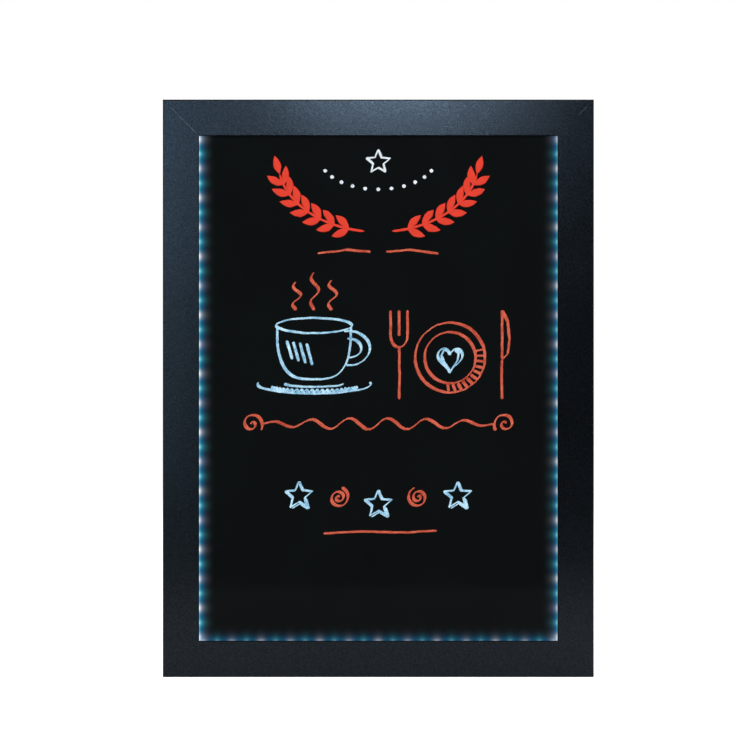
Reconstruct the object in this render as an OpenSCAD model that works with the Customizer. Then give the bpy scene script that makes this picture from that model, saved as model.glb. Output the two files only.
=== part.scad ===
// Edge-lit writing board: a clear erasable panel on black, in a mitred aluminium frame, lit along
// its left, right and bottom edges, with a control pod, hanger rings and turn buttons at the back.
// X runs to the viewer's right, Y from the front face to the wall, and Z up, in millimetres.
// The origin is under the middle of the board, on the surface that the board stands on.

/* [Board] */
// Overall width of the frame
board_w = 456; // [400:1:640]
// Overall height of the frame
board_h = 611; // [520:1:860]
// Depth of the frame, from its face to its rear edge
frame_depth = 24; // [24:0.5:34]

/* [Frame section] */
// Width of the front face of a rail
face_w = 38.5; // [37:0.5:50]
// Reach of the front lip past the gutter wall
lip_w = 8.5; // [7:0.5:10]
// Width of the deep outer box of a rail
body_w = 14; // [13:0.5:16]
// Thickness of the rail's walls
wall = 1.5; // [1.4:0.1:2]
// Rounding of the outer front edge
edge_r = 1.4; // [0.6:0.1:1.4]
// Rounding of the lip's inner edge
lip_r = 0.7; // [0.3:0.1:1]
// Gap left at the mitres, along a rail
mitre_gap = 0.08; // [0.05:0.01:0.2]

/* [Panel stack] */
// Thickness of the clear writing panel
panel_t = 5; // [4:0.5:6]
// Thickness of the black backing sheet
sheet_t = 1; // [0.6:0.1:2]
// Thickness of the back panel
back_t = 3; // [3:0.5:5]
// Gap around the back panel and above the writing panel
stack_clear = 0.4; // [0.2:0.1:0.8]

/* [Lamp strips] */
// Distance from lamp to lamp along a strip
lamp_pitch = 15.5; // [12:0.5:20]
// Length of a lamp along its strip
lamp_l = 3.5; // [3:0.1:5]
// Width of a lamp across its strip
lamp_w = 2.8; // [2:0.1:3]
// Height of a lamp, with its window
lamp_h = 1.8; // [1.2:0.1:2.4]
// Radius of a lamp's round window
window_r = 1.1; // [0.6:0.1:1.3]
// How far the window stands proud
window_h = 0.2; // [0.1:0.05:0.3]
// Thickness of a strip's board
strip_t = 1; // [0.8:0.1:1.6]
// Shortest bare length at each end of a strip
strip_margin = 4; // [3:0.5:6]
// Gutter left free at each end of the side strips
side_end = 7; // [6:0.5:12]
// Gutter left free at each end of the bottom strip
foot_end = 22; // [18:1:40]
// Gap from the lamps to the panel's edge
lamp_gap = 0.4; // [0.2:0.1:0.8]
// Length, width and height of a series resistor
resistor_size = [1.2, 2, 0.5]; // [0.3:0.1:2.4]
// Gap from a strip to the frame's lip and to the back panel
strip_clear = 0.3; // [0.2:0.1:0.6]
// Distance of a setting block from the panel's side
block_inset = 2; // [1:0.5:4]

/* [Wires] */
// Radius of a corner jumper's wire
wire_r = 0.5; // [0.3:0.05:0.6]
// Bend of a corner jumper at its middle line
wire_bend = 2.5; // [1.5:0.1:3]
// Length of a wire soldered to a strip
wire_lap = 2.5; // [1.5:0.1:2.5]
// Gap in depth behind, between and before a corner jumper's wires
wire_gap = 0.3; // [0.1:0.05:0.4]
// Thickness of the solder under a wire
solder_t = 0.05; // [0.02:0.01:0.1]
// Radius of a lead's wire
lead_r = 0.6; // [0.4:0.05:0.7]
// Distance between the lead's two wires
lead_pitch = 2.4; // [2:0.1:4]
// Bend of the lead at its middle line
lead_bend = 2.4; // [1.6:0.1:3]
// Height of the lead above the pod's floor
lead_lift = 0.15; // [0.05:0.05:0.2]
// Length of the clip along the lead
clip_l = 6; // [4:0.5:12]

/* [Corner keys] */
// Length of a key's leg
key_leg = 42; // [40:1:70]
// Depth of a key
key_d = 12; // [8:0.5:16]
// Distance of the first screw from the corner
key_hole_a = 20; // [17:0.5:24]
// Distance of the second screw from the corner
key_hole_b = 36; // [30:0.5:38]
// Gap between a key and the rail's side walls
key_clear = 0.15; // [0.05:0.05:0.3]

/* [Screws] */
// Radius of a screw's shank
screw_r = 1.5; // [1.2:0.05:1.6]
// Radius of a screw's head
head_r = 2.8; // [2.4:0.1:3]
// Depth of a countersunk head
sunk_h = 1.2; // [0.9:0.1:1.3]
// Height of a pan head
pan_h = 1.6; // [1.2:0.1:2]
// Radius of a pan head's top, as a share of the head's radius
pan_top = 0.75; // [0.7:0.05:0.9]
// Length of a key's screw
key_screw_l = 10; // [8:0.5:12]
// How far a screw reaches through the rail's shelf wall
screw_tip = 2; // [1:0.5:4]
// Width of the cross in a screw's head
cross_w = 0.7; // [0.5:0.05:0.9]
// Reach of the cross, as a share of the head's radius
cross_reach = 0.6; // [0.4:0.05:0.7]
// Gap around a screw's shank
screw_clear = 0.05; // [0.02:0.01:0.1]

/* [Turn buttons] */
// Reach of a turn button from its screw
turn_reach = 18; // [15:0.5:22]
// Width of a turn button
turn_w = 9; // [7:0.5:11]
// Thickness of a turn button
turn_t = 1.5; // [1:0.1:2]
// Gap under a turn button and under its screw's head
turn_gap = 0.2; // [0.1:0.05:0.3]
// Distance of the side turn buttons from the top and bottom of the frame
turn_inset = 150; // [145:1:200]

/* [Hangers] */
// Width of a hanger strap
strap_w = 9.6; // [8:0.1:10]
// Length of a hanger strap below the ring's axis
strap_l = 31; // [30:0.5:34]
// Thickness of a hanger strap
strap_t = 1.4; // [1.4:0.1:1.8]
// Radius of the ring's wire
ring_r = 1.25; // [1:0.05:1.4]
// Bend of the ring's upper corners at its middle line
ring_bend = 2.2; // [1.8:0.1:2.4]
// Straight drop of the ring above its round end
ring_leg = 5; // [4:0.5:8]
// Distance of the ring's axis below the top of the frame
hanger_inset = 90; // [70:1:100]
// Distance of the first strap screw below the ring's axis
strap_hole_a = 8; // [7:0.5:9]
// Distance of the second strap screw below the ring's axis
strap_hole_b = 24; // [22:0.5:26]
// Gap between the ring and the strap under it
ring_gap = 0.3; // [0.2:0.05:0.5]
// Gap between the ring and the side of the frame's deep box
ring_side = 1; // [0.5:0.1:1.5]
// Gap between the ring's bends and the ends of the barrel
ring_end = 0.25; // [0.1:0.05:0.5]
// Gap between the ring's wire and the barrel that it turns in
hinge_clear = 0.06; // [0.02:0.01:0.1]

/* [Wall bumpers] */
// Radius of a bumper
bumper_r = 5; // [4:0.5:6]
// Height of a bumper
bumper_h = 2; // [1.5:0.1:4]
// Radius of a bumper's rear face, as a share of its radius
bumper_top = 0.85; // [0.7:0.05:0.95]
// Distance of a bumper from the top or bottom of the frame
bumper_inset = 62; // [52:1:80]

/* [Control pod] */
// Width of the pod
pod_w = 80; // [78:1:100]
// Height of the pod
pod_h = 44; // [43:1:60]
// Depth of the pod
pod_d = 12; // [12:0.5:14]
// Thickness of the pod's walls
pod_wall = 1.5; // [1.2:0.1:1.5]
// Rounding of the pod's corners
pod_r = 4; // [2:0.5:5]
// Bevel around the cover's rear edge
pod_bevel = 0.8; // [0.4:0.1:1]
// Distance of the pod's middle from the frame's left side
pod_inset = 118; // [100:1:160]
// Least room for a plug between the pod and the bottom rail
plug_room = 48; // [40:1:80]
// Height of the lead above the pod's middle
lead_rise = 8; // [5:0.5:9]
// Radius of the screw posts
post_r = 2.8; // [2.4:0.1:3]
// Distance of the screw posts from the pod's sides
post_inset = 4; // [3.5:0.1:4.5]
// Depth that a pod screw's head sinks into the cover
head_sink = 1; // [0.6:0.1:1]

/* [Circuit board] */
// Width of the circuit board
circuit_w = 62; // [60:0.5:63]
// Height of the circuit board
circuit_h = 36; // [34:0.5:38]
// Thickness of the circuit board
circuit_t = 1.6; // [1:0.1:1.6]
// Height of the circuit board above the pod's floor
circuit_rise = 1.5; // [1.4:0.1:1.8]
// Radius of the circuit board's own screws
small_r = 1; // [0.8:0.05:1.1]
// Radius of their heads
small_head_r = 1.9; // [1.5:0.1:2]
// Height of their heads
small_head_h = 1.2; // [0.8:0.1:1.4]
// Distance of those screws from the circuit board's edges
small_inset = 4; // [3.5:0.1:4.5]
// Length, width and height of the driver chip
chip_size = [8.7, 3.9, 1.5]; // [1:0.1:9]
// Length, width and height of a power transistor
transistor_size = [4.5, 2.5, 1.5]; // [1:0.1:5]
// Distance from transistor to transistor
transistor_pitch = 5; // [4:0.5:6]
// Gap between the last tact switch and the transistors
transistor_gap = 1.5; // [1:0.1:2]
// Height of the first transistor above the buttons
transistor_rise = 1; // [0:0.5:2]
// Radius of the capacitor
capacitor_r = 3.15; // [2:0.05:4]
// Height of the capacitor
capacitor_h = 5.4; // [4:0.1:5.4]

/* [Power inlet] */
// Width and depth of the barrel jack
jack_w = 8.8; // [8.4:0.1:8.8]
// Length of the barrel jack inside the wall
jack_l = 12; // [11:0.5:13]
// Gap between the barrel jack and the nearest of the circuit board's screws
jack_gap = 0.7; // [0.4:0.1:2]
// Radius of the jack's round nose
nose_r = 3.9; // [3.6:0.05:4]
// Radius of the barrel jack's bore
jack_bore_r = 2.85; // [2.75:0.05:3]
// Depth of the bore
jack_bore_l = 9.5; // [8:0.5:10]
// Radius of the centre pin
pin_r = 1.05; // [1:0.05:1.25]
// Length of the centre pin in the bore
pin_l = 8.5; // [7:0.5:9.5]
// Width of the cable notch in the bottom rail
notch_w = 8.4; // [8:0.1:12]
// Room for the cable in front of the jack's axis
notch_room = 3; // [2.5:0.1:5]
// Thickness of the grommet's walls
grommet_t = 1.2; // [1:0.1:1.5]

/* [Controls] */
// Width of a tact switch
tact_w = 6; // [5:0.1:6.2]
// Height of a tact switch
tact_h = 3.5; // [3:0.1:3.5]
// Radius of a tact switch's plunger
plunger_r = 1.7; // [1.2:0.05:2]
// Length of a plunger inside its switch
plunger_root = 1.6; // [1:0.1:1.8]
// Travel of a button
press = 0.6; // [0.3:0.05:0.8]
// Radius of a button's cap
cap_r = 3.2; // [2.6:0.1:3.4]
// Bevel around a cap's top
cap_bevel = 0.4; // [0.2:0.1:0.6]
// Radius of the flange that keeps a cap in
flange_r = 4; // [3.8:0.1:4.6]
// Thickness of that flange
flange_t = 0.8; // [0.6:0.05:0.9]
// Gap between that flange and the cover
flange_gap = 0.2; // [0.1:0.05:0.3]
// How far a cap stands proud of the cover
cap_proud = 1; // [0.6:0.1:1.4]
// Place of the first button across the pod, from its middle
button_x = -4; // [-5:0.5:-3]
// Place of the buttons along the pod's height, from its middle
button_z = -4; // [-6:0.5:-3]
// Distance from button to button
button_pitch = 11; // [10:0.5:11]
// Length, width and height of the slide switch's can
can_size = [8.6, 4.4, 3.7]; // [3:0.1:9]
// Place of the slide switch from the pod's middle
switch_at = [12, 10]; // [9:0.5:14]
// Travel of the slider
slide = 3; // [2:0.1:3.4]
// Width of the slider's stem
stem_w = 2; // [1.6:0.1:2.2]
// Length and width of the slider's knob
knob_size = [3.6, 3.2]; // [2.4:0.1:4]
// How far the knob stands proud of the cover
knob_proud = 1.2; // [0.8:0.1:1.6]
// Gap around the moving controls
control_clear = 0.1; // [0.05:0.05:0.2]

/* [Hidden] */
$fn = 48;
SIDES = ["top", "bottom", "left", "right"];
LIT_SIDES = ["left", "right", "bottom"];
// Overlap that lets a cut run past the face it opens
cut = 1;

total_depth = frame_depth + bumper_h;
// Distances inward from the frame's outer edge
shelf_u = face_w - lip_w;
strip_u = shelf_u + strip_t;
panel_u = strip_u + lamp_h + lamp_gap;
panel_top_u = shelf_u + stack_clear;
back_u = shelf_u + stack_clear;
turn_u = (body_w + shelf_u) / 2;
// Depths behind the frame's face
sheet_v = wall + panel_t;
back_front_v = sheet_v + sheet_t;
back_v = back_front_v + back_t;
lamp_v = wall + panel_t / 2;
strip_v = [wall + strip_clear, back_front_v - strip_clear];
wire_v = [for (n = [1, 2]) back_front_v - n * wire_gap - (2 * n - 1) * wire_r];
block_v = [wall, wire_v[1] - wire_r - wire_gap];
turn_v = [back_v + turn_gap, back_v + turn_gap + turn_t];
ring_v = back_v + strap_t + ring_gap + ring_r;
key_v = [frame_depth - wall - key_d, frame_depth - wall];
// Hanger rings and their straps
ring_half_w = strap_w / 2 + ring_bend + ring_end;
hanger_u = body_w + ring_side + ring_r + ring_half_w;
hanger_z = board_h - hanger_inset;
strap_holes = [hanger_z - strap_hole_a, hanger_z - strap_hole_b];
// Middle line of a corner jumper, inward from the frame's outer edge
wire_u = strip_u + wire_r + solder_t;
// The lead drops between two lamps of the left strip, and the pod lines up with it
lead_u = strip_u + lead_r + solder_t;
lead_wish = body_w + plug_room + pod_h / 2 + lead_rise;
lead_gap_index = floor((lead_wish - board_h / 2) / lamp_pitch + lamp_count("left") / 2) + 1;
lead_z = board_h / 2 + (lead_gap_index - lamp_count("left") / 2) * lamp_pitch;
lead_d = pod_wall + lead_r + lead_lift;
pod_x = pod_inset - board_w / 2;
pod_z = lead_z - lead_rise;
// Place of the barrel jack across the pod, beside the circuit board's screws
jack_x = small_inset + small_head_r + jack_gap + jack_w / 2 - circuit_w / 2;
// Depths behind the back panel, inside the pod
seam_d = pod_d / 2;
roof_d = pod_d - pod_wall;
circuit_d = [pod_wall + circuit_rise, pod_wall + circuit_rise + circuit_t];
flange_d = [roof_d - flange_gap - flange_t, roof_d - flange_gap];
can_d = [circuit_d[1], circuit_d[1] + can_size[2]];
notch_v = back_v + seam_d - notch_room;
notch_x = pod_x + jack_x;
button_names = ["mode", "slower", "faster"];

function y_of(v) = v - total_depth / 2;
function is_upright(side) = side == "left" || side == "right";
function side_length(side) = is_upright(side) ? board_h : board_w;
function strip_end(side) = is_upright(side) ? side_end : foot_end;
function strip_length(side) = side_length(side) - 2 * (shelf_u + strip_end(side));
function lamp_count(side) = floor((strip_length(side) - 2 * strip_margin) / lamp_pitch) + 1;
function lamp_t(side, i) = (i - (lamp_count(side) - 1) / 2) * lamp_pitch;
// A place along an upright rail, from its height above the ground
function upright_t(side, z) = side == "left" ? board_h / 2 - z : z - board_h / 2;
// Places of the turn buttons along a rail
function turn_places(side) =
  is_upright(side) ? [turn_inset - board_h / 2, board_h / 2 - turn_inset] : [0];
function pod_v(d) = back_v + d;
function pod_span(d) = [pod_v(d[0]), pod_v(d[1])];
function around(middle, width) = [middle - width / 2, middle + width / 2];
function corner_signs() = [for (sx = [-1, 1], sz = [-1, 1]) [sx, sz]];

// Shapes in X, depth and Z

module block(x, v, z) {
  translate([x[0], y_of(v[0]), z[0]])
    cube([x[1] - x[0], v[1] - v[0], z[1] - z[0]]);
}

module rod(x, z, v, r) {
  translate([x, y_of(v[0]), z])
    rotate([-90, 0, 0])
      cylinder(h = v[1] - v[0], r = r);
}

module taper(x, z, v, r) {
  translate([x, y_of(v[0]), z])
    rotate([-90, 0, 0])
      cylinder(h = v[1] - v[0], r1 = r[0], r2 = r[1]);
}

// An outline in X and Z, given a thickness in depth
module slab(v) {
  translate([0, y_of(v[1]), 0])
    rotate([90, 0, 0])
      linear_extrude(height = v[1] - v[0])
        children();
}

module round_rect(w, h, r) {
  square([w, h - 2 * r], center = true);
  square([w - 2 * r, h], center = true);
  for (s = corner_signs())
    translate([s[0] * (w / 2 - r), s[1] * (h / 2 - r)])
      circle(r = r);
}

// A quarter bend of a wire in the plane of X and Y, from +X round to +Y
module bend(middle_r, r, angle = 90) {
  rotate_extrude(angle = angle)
    translate([middle_r, 0])
      circle(r = r);
}

// Puts what lies along the bottom rail on any side of the frame
module on_side(side) {
  if (side == "bottom")
    children();
  if (side == "top")
    translate([0, 0, board_h])
      rotate([0, 180, 0])
        children();
  if (side == "left")
    translate([-board_w / 2, 0, board_h / 2])
      rotate([0, 90, 0])
        children();
  if (side == "right")
    translate([board_w / 2, 0, board_h / 2])
      rotate([0, -90, 0])
        children();
}

// Puts what lies in the bottom left corner in any corner, with X and Z running inward
module at_corner(sx, sz) {
  translate([sx * board_w / 2, 0, sz > 0 ? board_h : 0])
    mirror([max(sx, 0), 0, 0])
      mirror([0, 0, max(sz, 0)])
        children();
}

module on_pod() {
  translate([pod_x, 0, pod_z])
    children();
}

module at_pod_posts() {
  for (s = corner_signs())
    translate([s[0] * (pod_w / 2 - post_inset), 0, s[1] * (pod_h / 2 - post_inset)])
      children();
}

module at_small_screws() {
  for (s = corner_signs())
    translate([s[0] * (circuit_w / 2 - small_inset), 0, s[1] * (circuit_h / 2 - small_inset)])
      children();
}

module at_button(i) {
  translate([button_x + i * button_pitch, 0, button_z])
    children();
}

module at_hanger(side) {
  translate([(side == "left" ? -1 : 1) * (board_w / 2 - hanger_u), y_of(ring_v), hanger_z])
    children();
}

// Screws, which point forward with their heads to the wall

module cross(v, r) {
  for (a = [0, 90])
    rotate([0, a, 0])
      block([-r, r], [v - cross_w, v + cut], [-cross_w / 2, cross_w / 2]);
}

module sunk_screw(v, length) {
  difference() {
    union() {
      rod(0, 0, [v - length, v - sunk_h], screw_r);
      taper(0, 0, [v - sunk_h, v], [screw_r, head_r]);
    }
    cross(v, head_r * cross_reach);
  }
}

module sunk_hole(v, length) {
  rod(0, 0, [v - length - cut, v - sunk_h + screw_clear], screw_r + screw_clear);
  taper(0, 0, [v - sunk_h, v], [screw_r + screw_clear, head_r + screw_clear]);
}

module pan_screw(v, length, r, top_r, top_h) {
  difference() {
    union() {
      rod(0, 0, [v - length, v], r);
      rod(0, 0, [v, v + top_h / 2], top_r);
      taper(0, 0, [v + top_h / 2, v + top_h], [top_r, top_r * pan_top]);
    }
    cross(v + top_h, top_r * cross_reach);
  }
}

// Frame

// Section of a rail: X runs inward from the outer edge and Y back from the face
module rail_section() {
  difference() {
    union() {
      square([face_w, wall]);
      square([shelf_u, back_v]);
      square([body_w, frame_depth]);
    }
    translate([wall, wall])
      square([body_w - 2 * wall, frame_depth - 2 * wall]);
    translate([body_w, wall])
      square([shelf_u - body_w - wall, back_v - 2 * wall]);
    difference() {
      translate([-cut, -cut])
        square(edge_r + cut);
      translate([edge_r, edge_r])
        circle(r = edge_r);
    }
    difference() {
      translate([face_w - lip_r, -cut])
        square(lip_r + cut);
      translate([face_w - lip_r, lip_r])
        circle(r = lip_r);
    }
  }
}

module mitre_wedge(length) {
  half = length / 2 - mitre_gap;
  top = face_w + cut;
  slab([-cut, frame_depth + cut])
    polygon([[-half - cut, -cut], [half + cut, -cut], [half - top, top], [top - half, top]]);
}

module rail_holes(side) {
  on_side(side) {
    for (s = [-1, 1], d = [key_hole_a, key_hole_b])
      translate([s * (side_length(side) / 2 - d), 0, body_w / 2])
        sunk_hole(frame_depth, wall);
    for (t = turn_places(side))
      rod(t, turn_u, [back_v - wall - cut, back_v + cut], screw_r + screw_clear);
    if (is_upright(side))
      for (z = strap_holes)
        rod(upright_t(side, z), hanger_u, [back_v - wall - cut, back_v + cut], screw_r + screw_clear);
    if (side == "bottom")
      block(around(notch_x, notch_w), [notch_v, frame_depth + cut], [-cut, body_w + cut]);
  }
}

module rail(side) {
  color("#22282d")
    difference() {
      on_side(side)
        intersection() {
          translate([0, y_of(0), 0])
            rotate([0, -90, 0])
              linear_extrude(height = side_length(side), center = true)
                rail_section();
          mitre_wedge(side_length(side));
        }
      rail_holes(side);
    }
}

module corner_key(sx, sz) {
  near = wall + key_clear;
  far = body_w - wall - key_clear;
  color("#a9adb0")
    at_corner(sx, sz)
      difference() {
        union() {
          block([near, near + key_leg], key_v, [near, far]);
          block([near, far], key_v, [near, near + key_leg]);
        }
        for (d = [key_hole_a, key_hole_b], swap = [false, true])
          rod(swap ? body_w / 2 : d, swap ? d : body_w / 2, [key_v[0] - cut, key_v[1] + cut],
            screw_r + screw_clear);
      }
}

module corner_key_screws() {
  color("#c3c5c6")
    for (side = SIDES)
      on_side(side)
        for (s = [-1, 1], d = [key_hole_a, key_hole_b])
          translate([s * (side_length(side) / 2 - d), 0, body_w / 2])
            sunk_screw(frame_depth, key_screw_l);
}

// Panel stack

module panel_sheet(v) {
  block([panel_u - board_w / 2, board_w / 2 - panel_u], v, [panel_u, board_h - panel_top_u]);
}

module writing_panel() {
  color("#0f1112")
    panel_sheet([wall, sheet_v]);
}

module backing_sheet() {
  color("#101010")
    panel_sheet([sheet_v, back_front_v]);
}

module back_panel() {
  notch_u = lead_u + lead_r + 2 * stack_clear;
  color("#1d1e20")
    difference() {
      block([back_u - board_w / 2, board_w / 2 - back_u], [back_front_v, back_v],
        [back_u, board_h - back_u]);
      block([-board_w / 2, notch_u - board_w / 2], [back_front_v - cut, back_v + cut],
        around(lead_z, lead_pitch + 2 * lead_r + 2 * stack_clear));
      on_pod()
        at_pod_posts()
          rod(0, 0, [back_front_v - cut, back_v + cut], screw_r + screw_clear);
    }
}

// The blocks stand in the bottom gutter past the ends of the strip, in front of the jumpers
module setting_blocks() {
  color("#2a2a2a")
    for (sx = [-1, 1])
      at_corner(sx, -1)
        block([panel_u + block_inset, shelf_u + foot_end - strip_margin], block_v, [shelf_u, panel_u]);
}

// Lamp strips

module led_board(side) {
  color("#e8e8e2")
    on_side(side)
      block(around(0, strip_length(side)), strip_v, [shelf_u, strip_u]);
}

module led_lamps(side) {
  color("#f2f4ee")
    on_side(side)
      for (i = [0 : lamp_count(side) - 1])
        translate([lamp_t(side, i), 0, 0]) {
          block(around(0, lamp_l), around(lamp_v, lamp_w), [strip_u, strip_u + lamp_h - window_h]);
          translate([0, y_of(lamp_v), strip_u + lamp_h / 2])
            cylinder(h = lamp_h / 2, r = window_r);
        }
}

// One resistor for every three lamps, beside the middle lamp of the three and clear of the strip's ends
module strip_resistors() {
  color("#2b2b2b")
    for (side = LIT_SIDES)
      on_side(side)
        for (i = [1 : 3 : lamp_count(side) - 2])
          translate([lamp_t(side, i) + lamp_l / 2 + resistor_size[0], 0, 0])
            block(around(0, resistor_size[0]), around(lamp_v, resistor_size[1]),
              [strip_u, strip_u + resistor_size[2]]);
}

module corner_jumper(sx) {
  middle = wire_u + wire_bend;
  color("#b8322c")
    at_corner(sx, -1)
      for (v = wire_v)
        translate([0, y_of(v), 0]) {
          translate([wire_u, 0, middle])
            cylinder(h = shelf_u + side_end + wire_lap - middle, r = wire_r);
          translate([middle, 0, wire_u])
            rotate([0, 90, 0])
              cylinder(h = shelf_u + foot_end + wire_lap - middle, r = wire_r);
          translate([middle, 0, middle])
            rotate([90, 0, 0])
              rotate([0, 0, 180])
                bend(wire_bend, wire_r);
        }
}

// Two wires from under the circuit board, along the back panel and down to the left strip
module strip_lead() {
  start_x = pod_x - circuit_w / 2 + small_inset;
  end_x = lead_u - board_w / 2;
  color("#c8c8c4")
    for (s = [-1, 1])
      translate([0, 0, lead_z + s * lead_pitch / 2]) {
        translate([end_x + lead_bend, y_of(pod_v(lead_d)), 0])
          rotate([0, 90, 0])
            cylinder(h = start_x - end_x - lead_bend, r = lead_r);
        translate([end_x + lead_bend, y_of(pod_v(lead_d)) - lead_bend, 0])
          rotate([0, 0, 90])
            bend(lead_bend, lead_r);
        rod(end_x, 0, [lamp_v, pod_v(lead_d) - lead_bend], lead_r);
      }
}

module lead_clip() {
  near = pod_x - pod_w / 2;
  far = lead_u - board_w / 2;
  color("#dadad6")
    difference() {
      block(around((near + far) / 2, clip_l), pod_span([0, lead_d + 2 * lead_r]),
        around(lead_z, lead_pitch + 6 * lead_r));
      for (s = [-1, 1])
        translate([far, y_of(pod_v(lead_d)), lead_z + s * lead_pitch / 2])
          rotate([0, 90, 0])
            cylinder(h = near - far, r = lead_r + screw_clear);
    }
}

// Control pod

module pod_shell(d) {
  slab(pod_span(d))
    round_rect(pod_w, pod_h, pod_r);
}

module pod_hollow(d) {
  slab(pod_span(d))
    round_rect(pod_w - 2 * pod_wall, pod_h - 2 * pod_wall, pod_r - pod_wall);
}

module jack_hole() {
  translate([jack_x, y_of(pod_v(seam_d)), -pod_h / 2 - cut])
    cylinder(h = pod_wall + 2 * cut, r = nose_r + control_clear);
}

module control_case() {
  color("#26282a")
    on_pod()
      difference() {
        union() {
          difference() {
            pod_shell([0, seam_d]);
            pod_hollow([pod_wall, seam_d + cut]);
          }
          at_pod_posts()
            rod(0, 0, pod_span([pod_wall / 2, seam_d]), post_r);
          at_small_screws()
            rod(0, 0, pod_span([pod_wall / 2, circuit_d[0]]), small_head_r);
        }
        at_pod_posts()
          rod(0, 0, pod_span([-cut, seam_d + cut]), screw_r + screw_clear);
        at_small_screws()
          rod(0, 0, pod_span([pod_wall / 2, circuit_d[1]]), small_r + screw_clear);
        jack_hole();
        for (s = [-1, 1])
          translate([-pod_w / 2 - cut, y_of(pod_v(lead_d)), lead_rise + s * lead_pitch / 2])
            rotate([0, 90, 0])
              cylinder(h = pod_wall + 2 * cut, r = lead_r + screw_clear);
      }
}

// A bar as deep as the cover, with its two rear edges bevelled
module bevelled_bar(w, length) {
  near = y_of(pod_v(seam_d));
  far = y_of(pod_v(pod_d));
  linear_extrude(height = length, center = true)
    polygon([
      [-w / 2, near], [w / 2, near], [w / 2, far - pod_bevel],
      [w / 2 - pod_bevel, far], [pod_bevel - w / 2, far], [-w / 2, far - pod_bevel]
    ]);
}

module control_cover() {
  color("#2c2e30")
    on_pod()
      difference() {
        union() {
          difference() {
            intersection() {
              pod_shell([seam_d, pod_d]);
              bevelled_bar(pod_w, pod_h + cut);
              rotate([0, 90, 0])
                bevelled_bar(pod_h, pod_w + cut);
            }
            pod_hollow([seam_d - cut, roof_d]);
          }
          at_pod_posts()
            rod(0, 0, pod_span([seam_d, roof_d + pod_wall / 2]), post_r);
        }
        at_pod_posts() {
          rod(0, 0, pod_span([seam_d - cut, pod_d + cut]), screw_r + screw_clear);
          rod(0, 0, pod_span([pod_d - head_sink, pod_d + cut]), head_r + screw_clear);
        }
        for (i = [0 : len(button_names) - 1])
          at_button(i)
            rod(0, 0, pod_span([roof_d - cut, pod_d + cut]), cap_r + control_clear);
        block(around(switch_at[0], knob_size[0] + slide + 4 * control_clear),
          pod_span([roof_d - cut, pod_d + cut]),
          around(switch_at[1], knob_size[1] + 4 * control_clear));
        jack_hole();
      }
}

// The pod's screws reach through cover and case into the back panel
module case_screws() {
  color("#c3c5c6")
    on_pod()
      at_pod_posts()
        pan_screw(pod_v(pod_d - head_sink), pod_d - head_sink + back_t - stack_clear,
          screw_r, head_r, pan_h);
}

module control_board() {
  color("#1f6b3a")
    on_pod()
      difference() {
        block(around(0, circuit_w), pod_span(circuit_d), around(0, circuit_h));
        block(around(jack_x, jack_w + 4 * control_clear), pod_span([0, pod_d]),
          [-pod_h / 2, pod_wall + jack_l - pod_h / 2 + 2 * control_clear]);
        at_small_screws()
          rod(0, 0, pod_span([0, pod_d]), small_r + screw_clear);
      }
}

module board_screws() {
  color("#c3c5c6")
    on_pod()
      at_small_screws()
        pan_screw(pod_v(circuit_d[1]), circuit_t + circuit_rise, small_r, small_head_r, small_head_h);
}

module driver_chip() {
  color("#191919")
    on_pod()
      block(around(button_x, chip_size[0]), pod_span([circuit_d[1], circuit_d[1] + chip_size[2]]),
        around(switch_at[1], chip_size[1]));
}

// The transistors stand in a column beside the last button
module power_transistors() {
  last_x = button_x + (len(button_names) - 1) * button_pitch;
  x = last_x + tact_w / 2 + transistor_gap + transistor_size[0] / 2;
  color("#191919")
    on_pod()
      for (i = [0 : 2])
        block(around(x, transistor_size[0]),
          pod_span([circuit_d[1], circuit_d[1] + transistor_size[2]]),
          around(button_z + transistor_rise + i * transistor_pitch, transistor_size[1]));
}

module capacitor() {
  color("#b7babd")
    on_pod()
      rod(jack_x, switch_at[1] - capacitor_r, pod_span([circuit_d[1], circuit_d[1] + capacitor_h]),
        capacitor_r);
}

module tact_switches() {
  color("#1b1b1b")
    on_pod()
      for (i = [0 : len(button_names) - 1])
        at_button(i)
          difference() {
            block(around(0, tact_w), pod_span([circuit_d[1], circuit_d[1] + tact_h]), around(0, tact_w));
            rod(0, 0, pod_span([circuit_d[1] + tact_h - plunger_root - press - control_clear, pod_d]),
              plunger_r + control_clear);
          }
}

// Power inlet

module dc_jack() {
  inner = pod_wall - pod_h / 2;
  color("#17181a")
    on_pod()
      difference() {
        union() {
          block(around(jack_x, jack_w), around(pod_v(seam_d), jack_w), [inner, inner + jack_l]);
          translate([jack_x, y_of(pod_v(seam_d)), -pod_h / 2])
            cylinder(h = 2 * pod_wall, r = nose_r);
        }
        translate([jack_x, y_of(pod_v(seam_d)), -pod_h / 2 - cut])
          cylinder(h = jack_bore_l + cut, r = jack_bore_r);
      }
}

module dc_jack_pin() {
  color("#d8d2b8")
    on_pod()
      translate([jack_x, y_of(pod_v(seam_d)), jack_bore_l - pod_h / 2 - pin_l])
        cylinder(h = pin_l, r = pin_r);
}

// A rubber liner in the notch of the bottom rail, open to the wall, with a flange on the inside
module cable_grommet() {
  outer = notch_w - 2 * screw_clear;
  near = notch_v + screw_clear;
  color("#1a1a1a")
    difference() {
      union() {
        block(around(notch_x, outer), [near, frame_depth - wall / 2], [0, body_w + grommet_t]);
        block(around(notch_x, outer + 2 * grommet_t), [near - grommet_t, frame_depth - wall / 2],
          [body_w, body_w + grommet_t]);
      }
      block(around(notch_x, outer - 2 * grommet_t), [near + grommet_t, frame_depth + cut],
        [-cut, body_w + grommet_t + cut]);
    }
}

// Controls

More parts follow.
